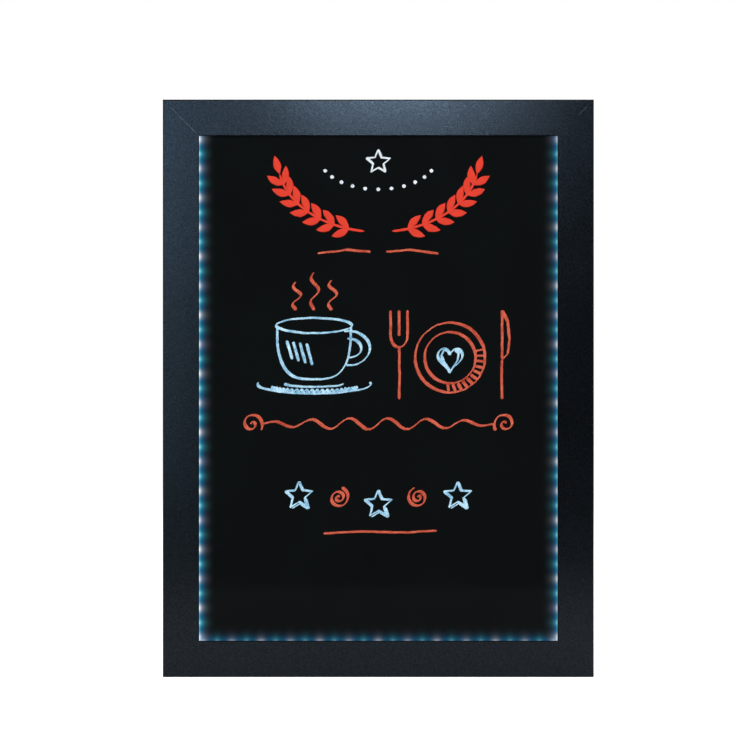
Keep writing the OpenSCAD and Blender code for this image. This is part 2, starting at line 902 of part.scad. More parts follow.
module slide_switch_body() {
  color("#b9bcbe")
    on_pod()
      difference() {
        block(around(switch_at[0], can_size[0]), pod_span(can_d), around(switch_at[1], can_size[1]));
        block(around(switch_at[0], stem_w + slide + 2 * control_clear),
          pod_span([can_d[0] + can_size[2] / 2, can_d[1] + cut]),
          around(switch_at[1], stem_w + 2 * control_clear));
      }
}

// The slider rests at the left end of its slot, which is on
module power_slider() {
  rest_x = switch_at[0] - slide / 2;
  knob_d = can_d[1] + 2 * control_clear;
  color("#d9d9d6")
    on_pod() {
      block(around(rest_x, stem_w), pod_span([can_d[0] + can_size[2] / 2 + control_clear, knob_d]),
        around(switch_at[1], stem_w));
      block(around(rest_x, knob_size[0]), pod_span([knob_d, pod_d + knob_proud]),
        around(switch_at[1], knob_size[1]));
    }
}

module button(i) {
  top_d = pod_d + cap_proud;
  color("#3a3d40")
    on_pod()
      at_button(i) {
        rod(0, 0, pod_span(flange_d), flange_r);
        rod(0, 0, pod_span([flange_d[0], top_d - cap_bevel]), cap_r);
        taper(0, 0, pod_span([top_d - cap_bevel, top_d]), [cap_r, cap_r - cap_bevel]);
      }
}

module plunger(i) {
  color("#101010")
    on_pod()
      at_button(i)
        rod(0, 0, pod_span([circuit_d[1] + tact_h - plunger_root, flange_d[0]]), plunger_r);
}

// Hangers and turn buttons

module hanger_strap(side) {
  barrel_r = ring_v - back_v;
  x = (side == "left" ? -1 : 1) * (board_w / 2 - hanger_u);
  color("#c6c9cb")
    difference() {
      union() {
        block(around(x, strap_w), [back_v, back_v + strap_t], [hanger_z - strap_l, hanger_z]);
        at_hanger(side)
          rotate([0, 90, 0])
            cylinder(h = strap_w, r = barrel_r, center = true);
      }
      at_hanger(side)
        rotate([0, 90, 0])
          cylinder(h = strap_w + 2 * cut, r = ring_r + hinge_clear, center = true);
      for (z = strap_holes)
        translate([x, 0, z])
          sunk_hole(back_v + strap_t, strap_t);
    }
}

// A round-ended wire loop, which hangs down over its strap
module hanger_ring(side) {
  color("#d2d4d6")
    at_hanger(side) {
      rotate([0, 90, 0])
        cylinder(h = 2 * (ring_half_w - ring_bend), r = ring_r, center = true);
      for (s = [-1, 1]) {
        translate([s * (ring_half_w - ring_bend), 0, -ring_bend])
          rotate([90, 0, 0])
            rotate([0, 0, s > 0 ? 0 : 90])
              bend(ring_bend, ring_r);
        translate([s * ring_half_w, 0, -ring_leg])
          cylinder(h = ring_leg - ring_bend, r = ring_r);
      }
      translate([0, 0, -ring_leg])
        rotate([90, 0, 0])
          rotate([0, 0, 180])
            bend(ring_half_w, ring_r, 180);
    }
}

module hanger_screws() {
  color("#c3c5c6")
    for (side = ["left", "right"])
      on_side(side)
        for (z = strap_holes)
          translate([upright_t(side, z), 0, hanger_u])
            sunk_screw(back_v + strap_t, strap_t + wall + screw_tip);
}

// A steel plate with round ends that points inward over the back panel
module turn_button(side, t) {
  color("#bfc2c4")
    on_side(side)
      translate([t, 0, turn_u])
        difference() {
          slab(turn_v) {
            circle(d = turn_w);
            translate([-turn_w / 2, 0])
              square([turn_w, turn_reach - turn_w / 2]);
            translate([0, turn_reach - turn_w / 2])
              circle(d = turn_w);
          }
          rod(0, 0, [turn_v[0] - cut, turn_v[1] + cut], screw_r + screw_clear);
        }
}

module turn_button_screws() {
  color("#c3c5c6")
    for (side = SIDES)
      on_side(side)
        for (t = turn_places(side))
          translate([t, 0, turn_u])
            pan_screw(turn_v[1] + turn_gap, turn_t + 2 * turn_gap + wall + screw_tip,
              screw_r, head_r, pan_h);
}

module wall_bumpers() {
  color("#1c1c1c")
    for (side = ["left", "right"])
      on_side(side)
        for (s = [-1, 1])
          translate([s * (board_h / 2 - bumper_inset), 0, body_w / 2]) {
            rod(0, 0, [frame_depth, frame_depth + bumper_h / 2], bumper_r);
            taper(0, 0, [frame_depth + bumper_h / 2, total_depth], [bumper_r, bumper_r * bumper_top]);
          }
}

rail("top");  // rail_top
rail("bottom");  // rail_bottom
rail("left");  // rail_left
rail("right");  // rail_right
corner_key(-1, 1);  // corner_key_top_left
corner_key(1, 1);  // corner_key_top_right
corner_key(-1, -1);  // corner_key_bottom_left
corner_key(1, -1);  // corner_key_bottom_right
corner_key_screws();
writing_panel();
backing_sheet();
back_panel();
setting_blocks();
led_board("left");  // led_board_left
led_board("right");  // led_board_right
led_board("bottom");  // led_board_bottom
led_lamps("left");  // led_lamps_left
led_lamps("right");  // led_lamps_right
led_lamps("bottom");  // led_lamps_bottom
strip_resistors();
corner_jumper(-1);  // corner_jumper_left
corner_jumper(1);  // corner_jumper_right
strip_lead();
lead_clip();
control_case();
control_cover();
case_screws();
control_board();
board_screws();
driver_chip();
power_transistors();
capacitor();
tact_switches();
dc_jack();
dc_jack_pin();
slide_switch_body();
power_slider();
button(0);  // mode_button
button(1);  // slower_button
button(2);  // faster_button
plunger(0);  // mode_plunger
plunger(1);  // slower_plunger
plunger(2);  // faster_plunger
hanger_strap("left");  // hanger_strap_left
hanger_strap("right");  // hanger_strap_right
hanger_ring("left");  // hanger_ring_left
hanger_ring("right");  // hanger_ring_right
hanger_screws();
turn_button("top", turn_places("top")[0]);  // turn_button_top
turn_button("bottom", turn_places("bottom")[0]);  // turn_button_bottom
turn_button("left", turn_places("left")[0]);  // turn_button_left_upper
turn_button("left", turn_places("left")[1]);  // turn_button_left_lower
turn_button("right", turn_places("right")[1]);  // turn_button_right_upper
turn_button("right", turn_places("right")[0]);  // turn_button_right_lower
turn_button_screws();
wall_bumpers();
cable_grommet();
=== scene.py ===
# Edge-lit writing board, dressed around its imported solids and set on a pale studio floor.
# Sizes in millimetres carry the ending _mm; everything that reaches Blender is in metres, with Z up.
import math
import bpy
import bmesh
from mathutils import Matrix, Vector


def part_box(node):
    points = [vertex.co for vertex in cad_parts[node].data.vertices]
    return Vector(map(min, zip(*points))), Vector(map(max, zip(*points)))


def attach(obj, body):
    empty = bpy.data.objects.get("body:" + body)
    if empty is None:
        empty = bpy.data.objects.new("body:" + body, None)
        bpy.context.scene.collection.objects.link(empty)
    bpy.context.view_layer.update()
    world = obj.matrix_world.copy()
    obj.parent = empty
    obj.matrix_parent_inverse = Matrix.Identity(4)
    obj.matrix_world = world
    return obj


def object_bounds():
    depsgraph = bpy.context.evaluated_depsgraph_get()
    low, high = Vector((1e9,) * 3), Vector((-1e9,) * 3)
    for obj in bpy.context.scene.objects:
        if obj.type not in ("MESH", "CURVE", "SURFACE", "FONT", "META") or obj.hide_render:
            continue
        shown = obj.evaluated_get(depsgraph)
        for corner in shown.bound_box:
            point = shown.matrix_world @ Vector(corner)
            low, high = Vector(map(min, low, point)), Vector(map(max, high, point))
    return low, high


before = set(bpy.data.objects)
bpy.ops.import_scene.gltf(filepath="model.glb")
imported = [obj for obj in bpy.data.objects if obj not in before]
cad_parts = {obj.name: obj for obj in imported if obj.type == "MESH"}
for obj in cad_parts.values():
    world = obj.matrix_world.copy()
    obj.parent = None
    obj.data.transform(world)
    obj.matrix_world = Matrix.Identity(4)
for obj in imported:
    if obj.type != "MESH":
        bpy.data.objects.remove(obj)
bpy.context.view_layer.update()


# Frame rails
# Four aluminium extrusions, mitred and keyed at the corners, under a fine textured black powder coat.
# The coat is a dull satin black with a light grain; bare metal shows as a hairline at the upper mitres.
def add_node(tree, kind, inputs=None, **settings):
    """Adds a node, gives it its settings, and sets or links its inputs by name or number."""
    node = tree.nodes.new(kind)
    for name, value in settings.items():
        setattr(node, name, value)
    for key, value in (inputs or {}).items():
        if isinstance(value, bpy.types.NodeSocket):
            tree.links.new(value, node.inputs[key])
        else:
            node.inputs[key].default_value = value
    return node


def linear(colour):
    """An sRGB hex colour as linear red, green, blue and alpha."""
    parts = [int(colour[i:i + 2], 16) / 255 for i in (1, 3, 5)]
    return [c / 12.92 if c <= 0.04045 else ((c + 0.055) / 1.055) ** 2.4 for c in parts] + [1.0]


def grained(name, dark, light, grain_mm, rough, bump_mm, metallic=0.0, shine=None, stretch=(1, 1, 1),
            clouds_mm=60, clouds=0.35):
    """A surface whose colour, gloss and relief follow one grain of a real size, with faint broad clouds."""
    # A grain that is too fine to show is drawn coarser, mostly at 0.3 to 0.8 mm
    material = bpy.data.materials.new(name)
    material.use_nodes = True
    tree = material.node_tree
    shader = tree.nodes["Principled BSDF"]
    place = add_node(tree, "ShaderNodeTexCoord").outputs["Object"]
    drawn = add_node(tree, "ShaderNodeMapping", {"Vector": place, "Scale": stretch}).outputs[0]
    grain = add_node(tree, "ShaderNodeTexNoise",
                     {"Vector": drawn, "Scale": 1000 / grain_mm, "Detail": 3, "Roughness": 0.55}).outputs[0]
    broad = add_node(tree, "ShaderNodeTexNoise",
                     {"Vector": place, "Scale": 1000 / clouds_mm, "Detail": 2}).outputs[0]
    broad = add_node(tree, "ShaderNodeMath", {0: broad, 1: clouds, 2: -clouds / 2},
                     operation="MULTIPLY_ADD").outputs[0]
    tone = add_node(tree, "ShaderNodeMath", {0: grain, 1: broad}, operation="ADD").outputs[0]
    # Nearly all of the noise lies between these two tones
    darkest = 0.28
    lightest = 0.72
    spread = add_node(tree, "ShaderNodeMapRange",
                      {"Value": tone, "From Min": darkest, "From Max": lightest}).outputs[0]
    colour = add_node(tree, "ShaderNodeMix", {0: spread, 6: linear(dark), 7: linear(light)},
                      data_type="RGBA").outputs[2]
    gloss = add_node(tree, "ShaderNodeMapRange",
                     {"Value": tone, "From Min": darkest, "From Max": lightest,
                      "To Min": rough[0], "To Max": rough[1]}).outputs[0]
    tree.links.new(colour, shader.inputs["Base Color"])
    tree.links.new(gloss, shader.inputs["Roughness"])
    if bump_mm:
        relief = add_node(tree, "ShaderNodeBump",
                          {"Height": grain, "Strength": 0.6, "Distance": bump_mm / 1000}).outputs[0]
        tree.links.new(relief, shader.inputs["Normal"])
    shader.inputs["Metallic"].default_value = metallic
    if shine is not None:
        shader.inputs["Specular IOR Level"].default_value = shine
    return material


def dress(material, *names):
    """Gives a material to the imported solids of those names."""
    for name in names:
        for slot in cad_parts[name].material_slots:
            slot.material = material


board_low, board_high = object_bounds()
half_w = board_high.x
front_y = board_low.y
face_w = 0.0385
# The real grit is about 0.3 mm; grain and grit are drawn coarser, so that they show from two metres away
coat_grain_mm = 1.4
coat_grit_mm = 1.0
powder_coat = grained("black textured powder coat", "#07080a", "#0e1013", coat_grain_mm, (0.18, 0.26), 0.02)
tree = powder_coat.node_tree
shader = tree.nodes["Principled BSDF"]
# Painted tint: the coat's reflections are tinted pale blue, standing in for the blue of the light its sheen
# reflects
shader.inputs["Specular Tint"].default_value = linear("#d6e7f8")
coat_colour = shader.inputs["Base Color"].links[0].from_socket
coat_rough = shader.inputs["Roughness"].links[0].from_socket
place = tree.nodes["Texture Coordinate"].outputs["Object"]
where = add_node(tree, "ShaderNodeSeparateXYZ", {0: place}).outputs
x_size = add_node(tree, "ShaderNodeMath", {0: where["X"]}, operation="ABSOLUTE").outputs[0]
from_side = add_node(tree, "ShaderNodeMath", {0: half_w, 1: x_size}, operation="SUBTRACT").outputs[0]
from_top = add_node(tree, "ShaderNodeMath", {0: board_high.z, 1: where["Z"]},
                    operation="SUBTRACT").outputs[0]
from_foot = add_node(tree, "ShaderNodeMath", {0: where["Z"], 1: board_low.z},
                     operation="SUBTRACT").outputs[0]
# Grit in the coat glints grain by grain
glint_least = 0.118
glint_most = 0.222
grit = add_node(tree, "ShaderNodeTexVoronoi",
                {"Vector": place, "Scale": 1000 / coat_grit_mm}).outputs["Color"]
grit = add_node(tree, "ShaderNodeSeparateXYZ", {0: grit}).outputs[0]
glint = add_node(tree, "ShaderNodeMapRange",
                 {"Value": grit, "To Min": glint_least, "To Max": glint_most}).outputs[0]
# Painted shade: along the front's outer edge and lip the coat's glint is cut to a fifth, drawing the dark
# line that a rounded edge turned from the lamps would show; the sides keep their glint
rim_shade_w = 0.0004
rim_shade_fade = 0.0012
rim_shade_glint = 0.2
round_front = front_y + 0.001
round_back = front_y + 0.002
rim_shade_on_front = add_node(tree, "ShaderNodeMapRange",
                      {"Value": where["Y"], "From Min": round_front, "From Max": round_back,
                       "To Min": rim_shade_glint, "To Max": 1.0}).outputs[0]
from_edge = from_side
for side in (from_top, from_foot):
    from_edge = add_node(tree, "ShaderNodeMath", {0: from_edge, 1: side}, operation="MINIMUM").outputs[0]
off_middle = add_node(tree, "ShaderNodeMath", {0: from_edge, 1: face_w / 2}, operation="SUBTRACT").outputs[0]
off_middle = add_node(tree, "ShaderNodeMath", {0: off_middle}, operation="ABSOLUTE").outputs[0]
painted_rim_shade = add_node(tree, "ShaderNodeMapRange",
                {"Value": off_middle, "From Min": face_w / 2 - rim_shade_fade, "From Max": face_w / 2 - rim_shade_w,
                 "To Min": 1.0, "To Max": rim_shade_on_front}).outputs[0]
glint = add_node(tree, "ShaderNodeMath", {0: glint, 1: painted_rim_shade}, operation="MULTIPLY").outputs[0]
tree.links.new(glint, shader.inputs["Specular IOR Level"])
# Metal shows in a hairline along the whole left mitre, but only along the outer part of the right one
line_half_w = 0.0001
line_fade = 0.0005
line_cover = 0.6
line_start = 0.008
left_line_end = 0.036
right_line_end = 0.0155
face_depth = 0.0005
off_mitre = add_node(tree, "ShaderNodeMath", {0: from_side, 1: from_top}, operation="SUBTRACT").outputs[0]
off_mitre = add_node(tree, "ShaderNodeMath", {0: off_mitre}, operation="ABSOLUTE").outputs[0]
hairline = add_node(tree, "ShaderNodeMapRange",
                    {"Value": off_mitre, "From Min": line_half_w, "From Max": line_fade,
                     "To Min": line_cover, "To Max": 0.0}).outputs[0]
line_end = add_node(tree, "ShaderNodeMapRange",
                    {"Value": where["X"], "From Min": -0.001, "From Max": 0.001,
                     "To Min": left_line_end, "To Max": right_line_end}).outputs[0]
line_limits = (("LESS_THAN", from_side, line_end), ("GREATER_THAN", from_side, line_start),
               ("LESS_THAN", where["Y"], front_y + face_depth))
for operation, value, limit in line_limits:
    inside = add_node(tree, "ShaderNodeMath", {0: value, 1: limit}, operation=operation).outputs[0]
    hairline = add_node(tree, "ShaderNodeMath", {0: hairline, 1: inside}, operation="MULTIPLY").outputs[0]
worn = add_node(tree, "ShaderNodeMix", {0: hairline, 6: coat_colour, 7: linear("#7f8a92")},
                data_type="RGBA").outputs[2]
# Dust lies along the upper edge and dulls it
dust_w = 0.0002
dust_fade = 0.0006
dust_cover = 0.7
dust = add_node(tree, "ShaderNodeMapRange",
                {"Value": from_top, "From Min": dust_w, "From Max": dust_fade,
                 "To Min": dust_cover, "To Max": 0.0}).outputs[0]
dusty = add_node(tree, "ShaderNodeMix", {0: dust, 6: worn, 7: linear("#101112")},
                 data_type="RGBA").outputs[2]
dull = add_node(tree, "ShaderNodeMix", {0: dust, 2: coat_rough, 3: 1.0}).outputs[0]
tree.links.new(dusty, shader.inputs["Base Color"])
tree.links.new(dull, shader.inputs["Roughness"])
dress(powder_coat, "rail_top", "rail_bottom", "rail_left", "rail_right")


# Corner keys
# L-shaped aluminium keys inside the hollow rails, cut from extruded bar.
# The die leaves fine lines along the bar, and the metal is mill-finished.
key_alloy = grained("mill-finished aluminium", "#9a9ea1", "#b4b8ba", 0.8, (0.32, 0.45), 0.01,
                    metallic=1.0, stretch=(1, 0.05, 1))
dress(key_alloy, "corner_key_top_left", "corner_key_top_right", "corner_key_bottom_left",
      "corner_key_bottom_right")


# Screws, hanger straps and turn buttons
# Pressed and headed steel with a clear zinc plate, screwed to the rails and the control pod.
# The plate is bright grey with a faint bluish and straw-coloured cast in patches.
zinc_plate = grained("clear zinc-plated steel", "#7f858b", "#a3a49e", 2.5, (0.30, 0.46), 0.008,
                     metallic=1.0, clouds_mm=9)
dress(zinc_plate, "corner_key_screws", "case_screws", "board_screws", "hanger_screws", "turn_button_screws",
      "hanger_strap_left", "hanger_strap_right", "turn_button_top", "turn_button_bottom",
      "turn_button_left_upper", "turn_button_left_lower", "turn_button_right_upper",
      "turn_button_right_lower")


# Hanger rings
# Bent from drawn steel wire and nickel-plated, each free to swing in its strap's rolled barrel.
# The wire is brighter and smoother than the pressed parts, with faint drawing marks.
ring_nickel = grained("nickel-plated steel wire", "#9b9994", "#b9b7b1", 0.7, (0.14, 0.26), 0.004,
                      metallic=1.0)
dress(ring_nickel, "hanger_ring_left", "hanger_ring_right")


# Lamp strips
# Narrow white laminate boards in the gutter of the side and bottom rails, with moulded lamps and resistors,
# joined at the lower corners by short red wires. They light the edges of the writing panel.
# White solder mask is printed on, even and half glossy.
strip_white = grained("white solder-masked laminate", "#dcdcd4", "#f0f0ea", 1.5, (0.35, 0.5), 0.01)
dress(strip_white, "led_board_left", "led_board_right", "led_board_bottom")
# The lamps are cast in clear resin and are lit
lamp_resin = grained("clear lamp resin", "#e2ebe8", "#f6fbf8", 0.6, (0.15, 0.3), 0.01)
lamp_shader = lamp_resin.node_tree.nodes["Principled BSDF"]
lamp_shader.inputs["Emission Color"].default_value = linear("#bfe9ff")
lamp_shader.inputs["Emission Strength"].default_value = 1.0
dress(lamp_resin, "led_lamps_left", "led_lamps_right", "led_lamps_bottom")
# Filled epoxy comes from its mould matt and near black
chip_epoxy = grained("black moulding epoxy", "#161616", "#262626", 0.3, (0.5, 0.65), 0.01)
dress(chip_epoxy, "strip_resistors")
# The extruded cover of a wire is smooth and faintly glossy
jumper_pvc = grained("red PVC wire cover", "#a82a25", "#c23a33", 0.6, (0.35, 0.45), 0.005)
dress(jumper_pvc, "corner_jumper_left", "corner_jumper_right")


# Writing panel
# A cast acrylic sheet with a black film behind it, carried in the frame on two rubber blocks.
# The lamps glow through its left, right and bottom edges: bright spots in a blue haze that dies in 15 mm.
panel_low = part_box("writing_panel")[0]
window_x = half_w - face_w
window_foot = face_w
lamp_pitch = 0.0155
# The lamps go white, cyan, lilac, cyan along an edge
lamp_round = 4
# The core, the halo and the veil of the spots: reach, power of the fall, widths along the edge of a pale lamp
# and of a cyan one, and colours lamp by lamp
spot_layers = (
    (0.0014, 1.6, (0.0026, 0.0015), ("#b8aca6", "#8f595f", "#aea49f", "#8f595f")),
    (0.0031, 1.3, (0.0028, 0.0023), ("#b0a599", "#36a6a2", "#918688", "#36a6a2")),
    (0.0117, 4.5, (0.0040, 0.0040), ("#22211f", "#0c2322", "#211f24", "#0c2322")),
)
# The haze, the pale line right at the lip and the dim grey rim: reach, power of the fall, colour
even_layers = ((0.0042, 1.45, "#0c6795"), (0.0006, 1.0, "#4ca8b8"), (0.0117, 4.5, "#100f0c"))
# Cast sheet is as smooth as glass, with only faint slow clouds
acrylic = grained("cast acrylic on black", "#0f1010", "#121413", 90, (0.05, 0.07), 0.0, shine=0.014,
                  clouds_mm=160)
tree = acrylic.node_tree
shader = tree.nodes["Principled BSDF"]
shader.inputs["IOR"].default_value = 1.49
place = tree.nodes["Texture Coordinate"].outputs["Object"]
where = add_node(tree, "ShaderNodeSeparateXYZ", {0: place}).outputs
middle_z = (board_low.z + board_high.z) / 2
# Only the face in the window glows, and a hair's breadth under the lip
lip_overlap = 0.0003
facing = add_node(tree, "ShaderNodeMath", {0: where["Y"], 1: panel_low.y + lip_overlap},
                  operation="LESS_THAN").outputs[0]
glow = None
# Each lit edge: the axis along it, its middle, the axis across it and the way in, its lip, the step to its
# first white lamp, and the strengths of the spots, the haze, the line and the rim
lit_edges = (
    ("Z", middle_z, "X", 1, -window_x, -1, (1.0, 1.0, 1.0, 1.0)),
    ("Z", middle_z, "X", -1, window_x, -3, (0.66, 0.66, 0.66, 0.66)),
    ("X", 0.0, "Z", 1, window_foot, 0, (0.31, 0.45, 0.0, 0.31)),
)
for along, middle, across, way, lip, first, strengths in lit_edges:
    count = add_node(tree, "ShaderNodeMath", {0: where[along], 1: 1 / lamp_pitch, 2: -middle / lamp_pitch},
                     operation="MULTIPLY_ADD").outputs[0]
    lamp = add_node(tree, "ShaderNodeMath", {0: count}, operation="ROUND").outputs[0]
    off = add_node(tree, "ShaderNodeMath", {0: count, 1: lamp}, operation="SUBTRACT").outputs[0]
    off = add_node(tree, "ShaderNodeMath", {0: off, 1: off}, operation="MULTIPLY").outputs[0]
    turn = add_node(tree, "ShaderNodeMath", {0: lamp, 1: first}, operation="ADD").outputs[0]
    cyan = add_node(tree, "ShaderNodeMath", {0: turn, 1: 2}, operation="FLOORED_MODULO").outputs[0]
    turn = add_node(tree, "ShaderNodeMath", {0: turn, 1: lamp_round}, operation="FLOORED_MODULO").outputs[0]
    turn = add_node(tree, "ShaderNodeMath", {0: turn, 1: 1 / lamp_round, 2: 0.5 / lamp_round},
                    operation="MULTIPLY_ADD").outputs[0]
    depth = add_node(tree, "ShaderNodeMath", {0: where[across], 1: way, 2: -way * lip},
                     operation="MULTIPLY_ADD").outputs[0]
    bare = add_node(tree, "ShaderNodeMath", {0: depth, 1: -lip_overlap}, operation="GREATER_THAN").outputs[0]
    bare = add_node(tree, "ShaderNodeMath", {0: bare, 1: facing}, operation="MULTIPLY").outputs[0]
    inward = add_node(tree, "ShaderNodeMath", {0: depth, 1: 0.0}, operation="MAXIMUM").outputs[0]
    layers = []
    for (reach, power, colour), strength in zip(even_layers, strengths[1:]):
        layers.append((linear(colour)[:3], reach, power, strength))
    for reach, power, widths, colours in spot_layers:
        pale_fall, cyan_fall = [-0.5 * (lamp_pitch / width) ** 2 for width in widths]
        fall = add_node(tree, "ShaderNodeMath", {0: cyan, 1: cyan_fall - pale_fall, 2: pale_fall},
                        operation="MULTIPLY_ADD").outputs[0]
        spot = add_node(tree, "ShaderNodeMath", {0: off, 1: fall}, operation="MULTIPLY").outputs[0]
        spot = add_node(tree, "ShaderNodeMath", {0: spot}, operation="EXPONENT").outputs[0]
        spot = add_node(tree, "ShaderNodeMath", {0: spot, 1: strengths[0]}, operation="MULTIPLY").outputs[0]
        ramp = add_node(tree, "ShaderNodeValToRGB", {0: turn})
        ramp.color_ramp.interpolation = "CONSTANT"
        ramp.color_ramp.elements.remove(ramp.color_ramp.elements[-1])
        for n, colour in enumerate(colours):
            stop = ramp.color_ramp.elements[0] if n == 0 else ramp.color_ramp.elements.new(n / lamp_round)
            stop.color = linear(colour)
        layers.append((ramp.outputs[0], reach, power, spot))
    for colour, reach, power, share in layers:
        fall = add_node(tree, "ShaderNodeMath", {0: inward, 1: 1 / reach}, operation="MULTIPLY").outputs[0]
        fall = add_node(tree, "ShaderNodeMath", {0: fall, 1: power}, operation="POWER").outputs[0]
        fade = add_node(tree, "ShaderNodeMath", {0: 1 / math.e, 1: fall}, operation="POWER").outputs[0]
        fade = add_node(tree, "ShaderNodeMath", {0: fade, 1: bare}, operation="MULTIPLY").outputs[0]
        fade = add_node(tree, "ShaderNodeMath", {0: fade, 1: share}, operation="MULTIPLY").outputs[0]
        layer = add_node(tree, "ShaderNodeVectorMath", {0: colour, "Scale": fade},
                         operation="SCALE").outputs[0]
        if glow:
            layer = add_node(tree, "ShaderNodeVectorMath", {0: glow, 1: layer}, operation="ADD").outputs[0]
        glow = layer
tree.links.new(glow, shader.inputs["Emission Color"])
shader.inputs["Emission Strength"].default_value = 1.0
dress(acrylic, "writing_panel")
# The film is matt, so that it mirrors nothing through the sheet
black_film = grained("black polyester film", "#0c0c0c", "#141414", 2.0, (0.5, 0.6), 0.01)
dress(black_film, "backing_sheet")


# Marker drawings
# Liquid chalk drawn by hand on the panel, and an ornament printed above it: a wreath, a cup, a plate, stars.
# The ink stands a tenth of a millimetre proud, streaky from the felt tip, and takes light from the panel.
def stroke_tree():
    """Geometry nodes that lay a flat, slightly shaky line of a chisel tip's ink along each spline."""
    tree = bpy.data.node_groups.new("Ink stroke", "GeometryNodeTree")
    sockets = (("Path", "NodeSocketGeometry"), ("Width", "NodeSocketFloat"), ("Thickness", "NodeSocketFloat"),
               ("Step", "NodeSocketFloat"), ("Shake", "NodeSocketFloat"), ("End length", "NodeSocketFloat"),
               ("End power", "NodeSocketFloat"), ("Nib", "NodeSocketFloat"), ("Face", "NodeSocketFloat"),
               ("Ink", "NodeSocketMaterial"))
    for name, kind in sockets:
        tree.interface.new_socket(name, in_out="INPUT", socket_type=kind)
    tree.interface.new_socket("Strokes", in_out="OUTPUT", socket_type="NodeSocketGeometry")
    given = add_node(tree, "NodeGroupInput").outputs
    # The hand sways about every 11 mm, and the felt presses by turns every 6 mm
    sways_per_m = 90
    presses_per_m = 160
    least_press = 0.75
    press_range = 0.5
    blunt_end = 0.02
    nib_slope = (0.77, 0.0, 0.64)
    path = add_node(tree, "GeometryNodeResampleCurve", {"Curve": given["Path"], "Length": given["Step"]},
                    mode="LENGTH").outputs[0]
    spot = add_node(tree, "GeometryNodeInputPosition").outputs[0]
    shake = add_node(tree, "ShaderNodeTexNoise",
                     {"Vector": spot, "Scale": sways_per_m, "Detail": 1}).outputs["Color"]
    shake = add_node(tree, "ShaderNodeVectorMath", {0: shake, 1: (0.5, 0.5, 0.5)},
                     operation="SUBTRACT").outputs[0]
    shake = add_node(tree, "ShaderNodeVectorMath", {0: shake, 1: (1, 0, 1)}, operation="MULTIPLY").outputs[0]
    shake = add_node(tree, "ShaderNodeVectorMath", {0: shake, "Scale": given["Shake"]},
                     operation="SCALE").outputs[0]
    path = add_node(tree, "GeometryNodeSetPosition", {"Geometry": path, "Offset": shake}).outputs[0]
    done = add_node(tree, "GeometryNodeSplineParameter").outputs["Length"]
    whole = add_node(tree, "GeometryNodeSplineLength").outputs["Length"]
    left = add_node(tree, "ShaderNodeMath", {0: whole, 1: done}, operation="SUBTRACT").outputs[0]
    end = add_node(tree, "ShaderNodeMath", {0: done, 1: left}, operation="MINIMUM").outputs[0]
    end = add_node(tree, "ShaderNodeMath", {0: end, 1: given["End length"]}, operation="DIVIDE").outputs[0]
    end = add_node(tree, "ShaderNodeMath", {0: end, 1: blunt_end}, operation="MAXIMUM").outputs[0]
    end = add_node(tree, "ShaderNodeMath", {0: end, 1: 1}, operation="MINIMUM").outputs[0]
    end = add_node(tree, "ShaderNodeMath", {0: end, 1: math.pi / 2}, operation="MULTIPLY").outputs[0]
    end = add_node(tree, "ShaderNodeMath", {0: end}, operation="SINE").outputs[0]
    end = add_node(tree, "ShaderNodeMath", {0: end, 1: given["End power"]}, operation="POWER").outputs[0]
    press = add_node(tree, "ShaderNodeTexNoise",
                     {"Vector": spot, "Scale": presses_per_m, "Detail": 1}).outputs["Fac"]
    press = add_node(tree, "ShaderNodeMath", {0: press, 1: press_range, 2: least_press},
                     operation="MULTIPLY_ADD").outputs[0]
    size = add_node(tree, "ShaderNodeMath", {0: end, 1: press}, operation="MULTIPLY").outputs[0]
    # The tip's edge slopes up to the right: a stroke along it is thin, one across it is thick
    way = add_node(tree, "GeometryNodeInputTangent").outputs[0]
    slant = add_node(tree, "ShaderNodeVectorMath", {0: way, 1: nib_slope},
                     operation="DOT_PRODUCT").outputs["Value"]
    slant = add_node(tree, "ShaderNodeMath", {0: slant, 1: slant}, operation="MULTIPLY").outputs[0]
    slant = add_node(tree, "ShaderNodeMath", {0: 0.5, 1: slant}, operation="SUBTRACT").outputs[0]
    slant = add_node(tree, "ShaderNodeMath", {0: slant, 1: given["Nib"], 2: 1.0},
                     operation="MULTIPLY_ADD").outputs[0]
    size = add_node(tree, "ShaderNodeMath", {0: size, 1: slant}, operation="MULTIPLY").outputs[0]
    half = add_node(tree, "ShaderNodeMath", {0: given["Width"], 1: 0.5}, operation="MULTIPLY").outputs[0]
    tip = add_node(tree, "GeometryNodeCurvePrimitiveCircle", {"Resolution": 8, "Radius": half}).outputs[0]
    line = add_node(tree, "GeometryNodeCurveToMesh",
                    {"Curve": path, "Profile Curve": tip, "Scale": size, "Fill Caps": True}).outputs[0]
    flat = add_node(tree, "ShaderNodeMath", {0: given["Thickness"], 1: given["Width"]},
                    operation="DIVIDE").outputs[0]
    squeeze = add_node(tree, "ShaderNodeCombineXYZ", {0: 1.0, 1: flat, 2: 1.0}).outputs[0]
    lift = add_node(tree, "ShaderNodeCombineXYZ", {0: 0.0, 1: given["Face"], 2: 0.0}).outputs[0]
    laid = add_node(tree, "GeometryNodeTransform",
                    {"Geometry": line, "Translation": lift, "Scale": squeeze}).outputs[0]
    laid = add_node(tree, "GeometryNodeRealizeInstances", {"Geometry": laid}).outputs[0]
    laid = add_node(tree, "GeometryNodeSetMaterial", {"Geometry": laid, "Material": given["Ink"]}).outputs[0]
    add_node(tree, "NodeGroupOutput", {"Strokes": laid})
    return tree


ink_strokes = stroke_tree()


